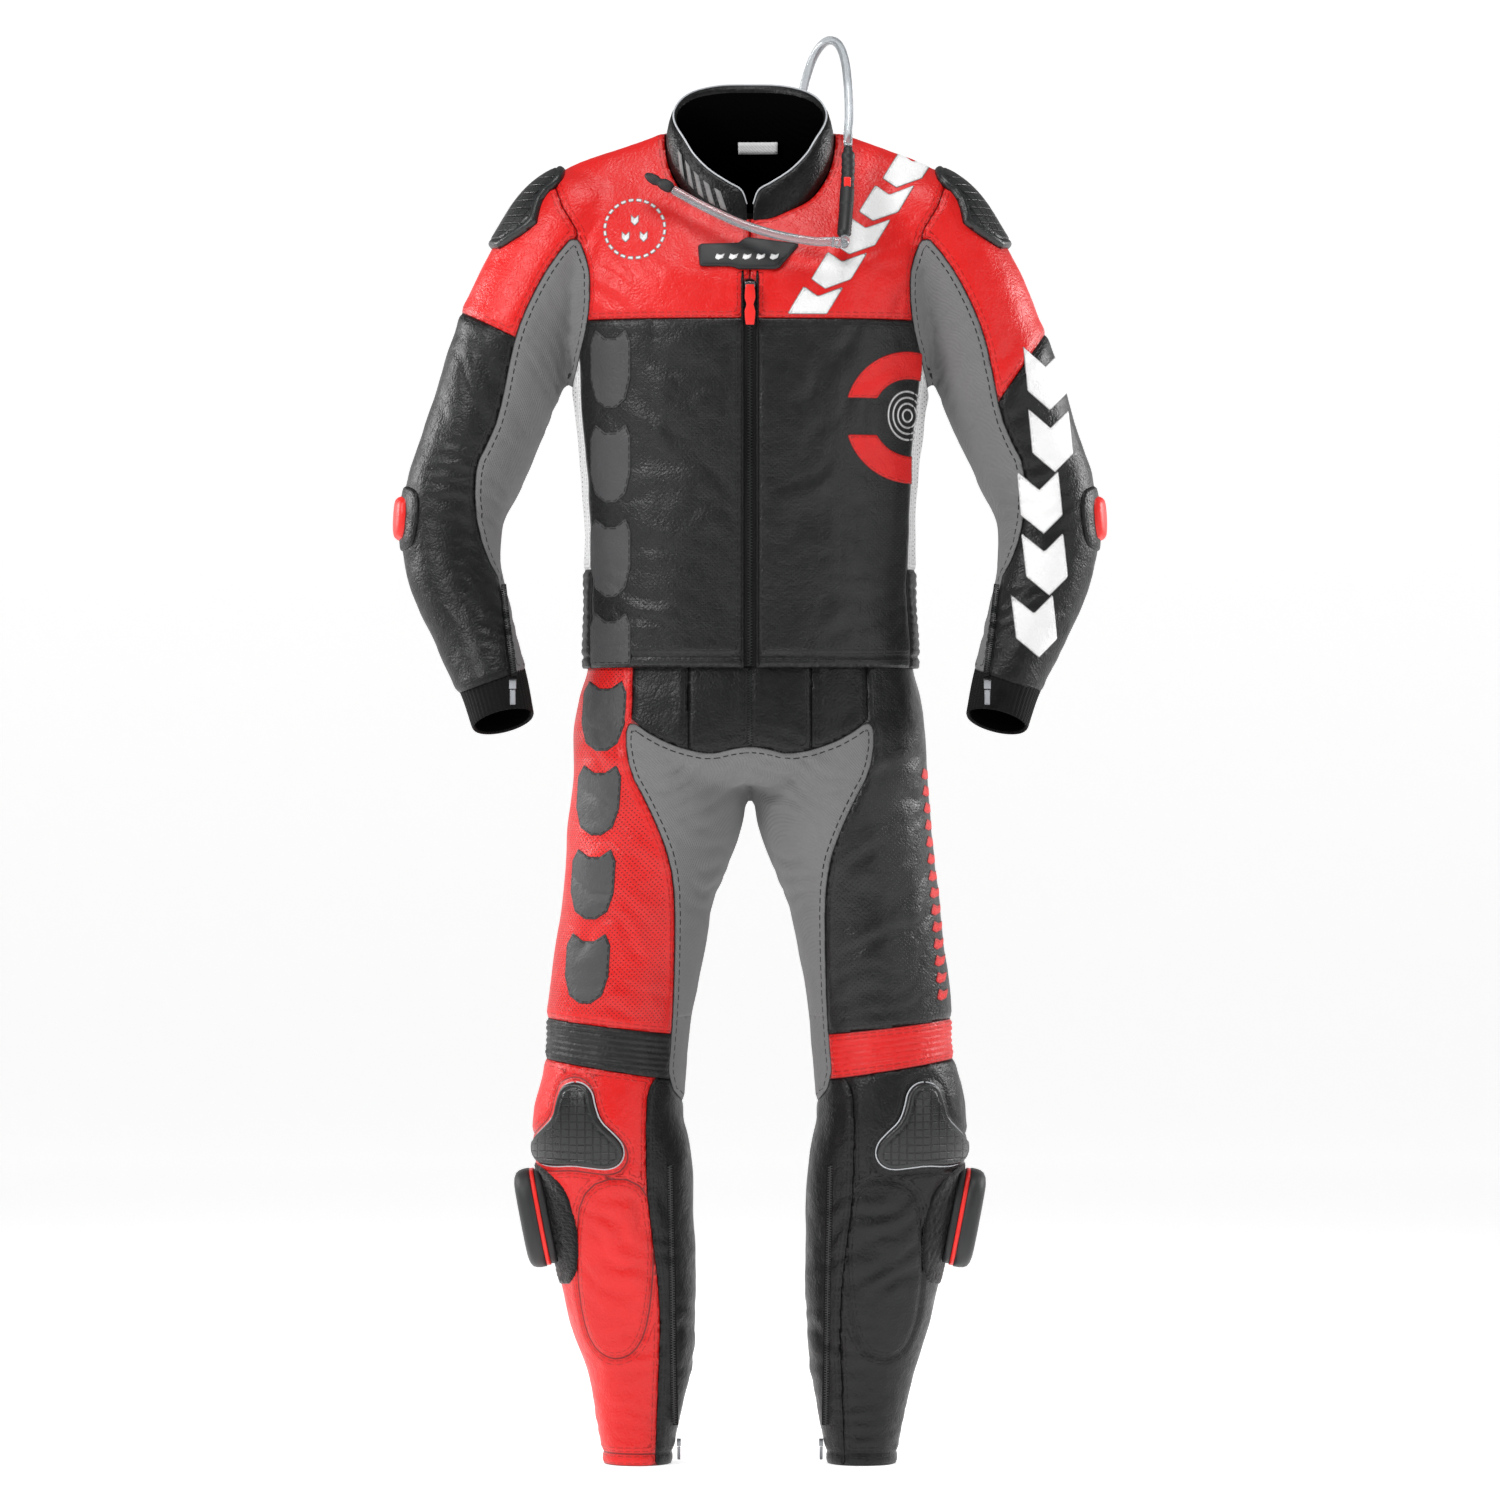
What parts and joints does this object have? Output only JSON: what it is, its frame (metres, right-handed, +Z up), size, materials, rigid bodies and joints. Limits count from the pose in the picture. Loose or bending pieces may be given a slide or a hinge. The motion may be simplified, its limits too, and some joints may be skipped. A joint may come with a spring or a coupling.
{
  "type": "two-piece motorcycle racing suit",
  "caption": "Two-piece leather racing suit: jacket zipped to matching trousers, with armour caps, knee and elbow sliders, back hump and a drinking tube.",
  "frame": {"origin": "point where a hanger carries the shoulders, on the suit's middle line at the height of the shoulders' inside", "axes": "+Z up, -Y the wearer's front, +X the wearer's left"},
  "size_m": [0.7184, 0.2936, 1.4406],
  "materials": {
    "leather_red": "semi-gloss grained cowhide",
    "leather_black": "semi-gloss grained cowhide",
    "leather_perforated": "perforated grained cowhide",
    "leather_white": "perforated, satin",
    "stretch_grey": "matte stretch weave",
    "knit_black": "matte rib knit",
    "hook_pile": "matte looped pile",
    "armour_plastic": "satin",
    "slider_red": "satin",
    "slider_black": "matte",
    "rubber_black": "moulded, matte",
    "zip_tape": "moulded teeth on woven tape",
    "zip_metal": "satin",
    "tube_clear": "clear soft plastic",
    "bladder": "clear film"
  },
  "bodies": {
    "suit": {"front_yoke_right": "leather_red", "front_yoke_left": "leather_red", "back_yoke": "leather_red", "chest_panel_right": "leather_perforated", "chest_panel_left": "leather_perforated", "back_panel": "leather_black", "side_panel_right": "leather_white", "side_panel_left": "leather_white", "collar": "leather_black", "neck_badge": "rubber_black", "hump_shell": "armour_plastic", "hydration_bladder": "bladder", "main_zip": "zip_tape", "sleeve_top_right": "leather_red", "upper_sleeve_right": "leather_black", "underarm_stretch_right": "stretch_grey", "elbow_flex_right": "leather_black", "shoulder_cap_right": "armour_plastic", "thigh_right": "leather_red", "knee_flex_right": "leather_black", "sleeve_top_left": "leather_red", "upper_sleeve_left": "leather_black", "underarm_stretch_left": "stretch_grey", "elbow_flex_left": "leather_black", "shoulder_cap_left": "armour_plastic", "thigh_left": "leather_perforated", "knee_flex_left": "leather_red", "waist_front": "leather_black", "seat_panel": "leather_black", "crotch_stretch": "stretch_grey", "supply_tube": "tube_clear", "quick_connector": "rubber_black", "drink_tube": "tube_clear"},
    "zip_slider": {"main_zip_slider": "zip_metal"},
    "zip_pull": {"main_zip_pull": "slider_red"},
    "forearm_right": {"forearm_leather_right": "leather_black", "forearm_stretch_right": "stretch_grey", "cuff_right": "knit_black", "elbow_slider_right": "slider_red"},
    "cuff_puller_right": {"cuff_zip_puller_right": "zip_metal"},
    "lower_leg_right": {"shin_right": "leather_red", "calf_right": "leather_black", "knee_cap_right": "armour_plastic", "hook_patch_right": "hook_pile"},
    "knee_slider_right": {"knee_slider_right": "slider_black"},
    "ankle_puller_right": {"ankle_zip_puller_right": "zip_metal"},
    "forearm_left": {"forearm_leather_left": "leather_black", "forearm_stretch_left": "stretch_grey", "cuff_left": "knit_black", "elbow_slider_left": "slider_red"},
    "cuff_puller_left": {"cuff_zip_puller_left": "zip_metal"},
    "lower_leg_left": {"shin_left": "leather_black", "calf_left": "leather_black", "knee_cap_left": "armour_plastic", "hook_patch_left": "hook_pile"},
    "knee_slider_left": {"knee_slider_left": "slider_black"},
    "ankle_puller_left": {"ankle_zip_puller_left": "zip_metal"},
    "release_button": {"release_button": "slider_red"},
    "bite_valve": {"bite_valve": "rubber_black"}
  },
  "joints": [
    {"name": "main_zip", "type": "slide", "parent": "suit", "child": "zip_slider", "axis": [0, 0, 1], "range_m": [-0.365, 0]},
    {"name": "main_zip_pull", "type": "hinge", "parent": "zip_slider", "child": "zip_pull", "pos_m": [0, -0.1148, -0.1108], "axis": [-1, 0, 0], "range_deg": [0, 90]},
    {"name": "elbow_right", "type": "hinge", "parent": "suit", "child": "forearm_right", "pos_m": [-0.299, 0.016, -0.332], "axis": [-1, 0, 0], "range_deg": [0, 30], "stiffness_Nm_per_rad": 0.8, "deforming": ["elbow_flex_right"]},
    {"name": "cuff_zip_right", "type": "slide", "parent": "forearm_right", "child": "cuff_puller_right", "axis": [-0.1244, 0.3252, 0.9374], "range_m": [0, 0.08]},
    {"name": "knee_right", "type": "hinge", "parent": "suit", "child": "lower_leg_right", "pos_m": [-0.137, -0.006, -0.872], "axis": [1, 0, 0], "range_deg": [0, 30], "stiffness_Nm_per_rad": 2, "deforming": ["knee_flex_right"]},
    {"name": "knee_slider_right", "type": "slide", "parent": "lower_leg_right", "child": "knee_slider_right", "axis": [-0.982, 0, -0.1889], "range_m": [0, 0.04]},
    {"name": "ankle_zip_right", "type": "hinge", "parent": "lower_leg_right", "child": "ankle_puller_right", "pos_m": [-0.0716, 0.008, -1.2655], "axis": [0, -1, 0], "range_deg": [0, 60]},
    {"name": "elbow_left", "type": "hinge", "parent": "suit", "child": "forearm_left", "pos_m": [0.299, 0.016, -0.332], "axis": [-1, 0, 0], "range_deg": [0, 30], "stiffness_Nm_per_rad": 0.8, "deforming": ["elbow_flex_left"]},
    {"name": "cuff_zip_left", "type": "slide", "parent": "forearm_left", "child": "cuff_puller_left", "axis": [0.1244, 0.3252, 0.9374], "range_m": [0, 0.08]},
    {"name": "knee_left", "type": "hinge", "parent": "suit", "child": "lower_leg_left", "pos_m": [0.137, -0.006, -0.872], "axis": [1, 0, 0], "range_deg": [0, 30], "stiffness_Nm_per_rad": 2, "deforming": ["knee_flex_left"]},
    {"name": "knee_slider_left", "type": "slide", "parent": "lower_leg_left", "child": "knee_slider_left", "axis": [0.982, 0, -0.1889], "range_m": [0, 0.04]},
    {"name": "ankle_zip_left", "type": "hinge", "parent": "lower_leg_left", "child": "ankle_puller_left", "pos_m": [0.0716, 0.008, -1.2655], "axis": [0, 1, 0], "range_deg": [0, 60]},
    {"name": "release_button", "type": "slide", "parent": "suit", "child": "release_button", "axis": [0, 1, 0], "range_m": [0, 0.0015], "stiffness_N_per_m": 400},
    {"name": "bite_valve_twist", "type": "hinge", "parent": "suit", "child": "bite_valve", "pos_m": [-0.0775, -0.0775, -0.013], "axis": [-0.8093, 0.3113, 0.4981], "range_deg": [-45, 45]}
  ]
}
